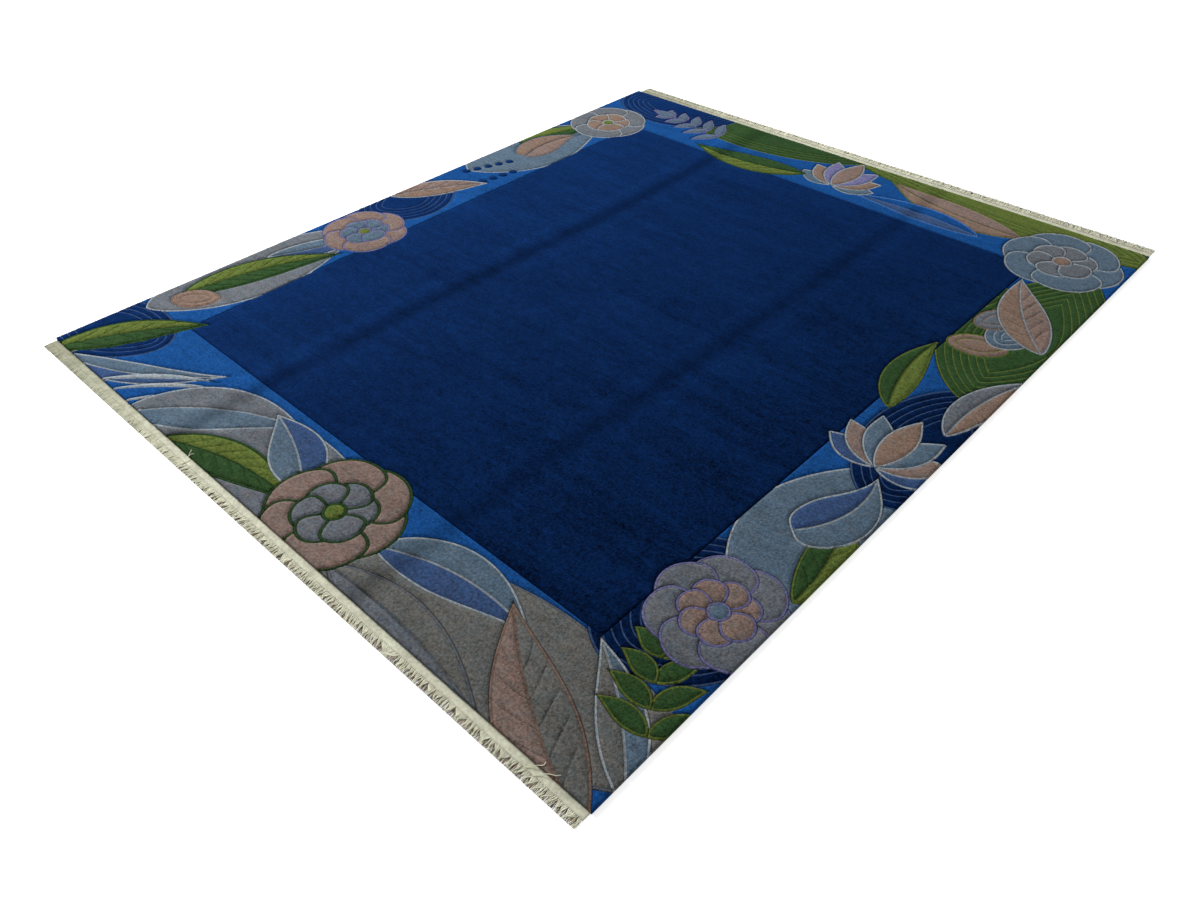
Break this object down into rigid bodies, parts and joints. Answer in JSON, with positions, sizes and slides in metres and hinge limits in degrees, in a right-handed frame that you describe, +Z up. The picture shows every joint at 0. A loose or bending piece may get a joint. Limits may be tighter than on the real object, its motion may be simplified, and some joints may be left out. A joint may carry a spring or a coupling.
{
  "type": "nepalese rug",
  "caption": "Hand-knotted rectangular wool rug lying flat: plain field, carved floral border, woven end webs and fringes.",
  "frame": {"origin": "on the floor, under the middle of the rug measured over its fringes", "axes": "+X across the rug, +Y along it from the near end to the far end, +Z up out of the pile"},
  "size_m": [2.5, 3.076, 0.013],
  "materials": {
    "wool_pile": "short cut wool pile, soft matt with a slight sheen, carved along its motifs",
    "cotton_fringe": "undyed flat-woven cotton with loose warp-end fringe, matt"
  },
  "bodies": {
    "root": {"pile": "wool_pile", "web_near": "cotton_fringe", "web_far": "cotton_fringe"}
  },
  "joints": []
}
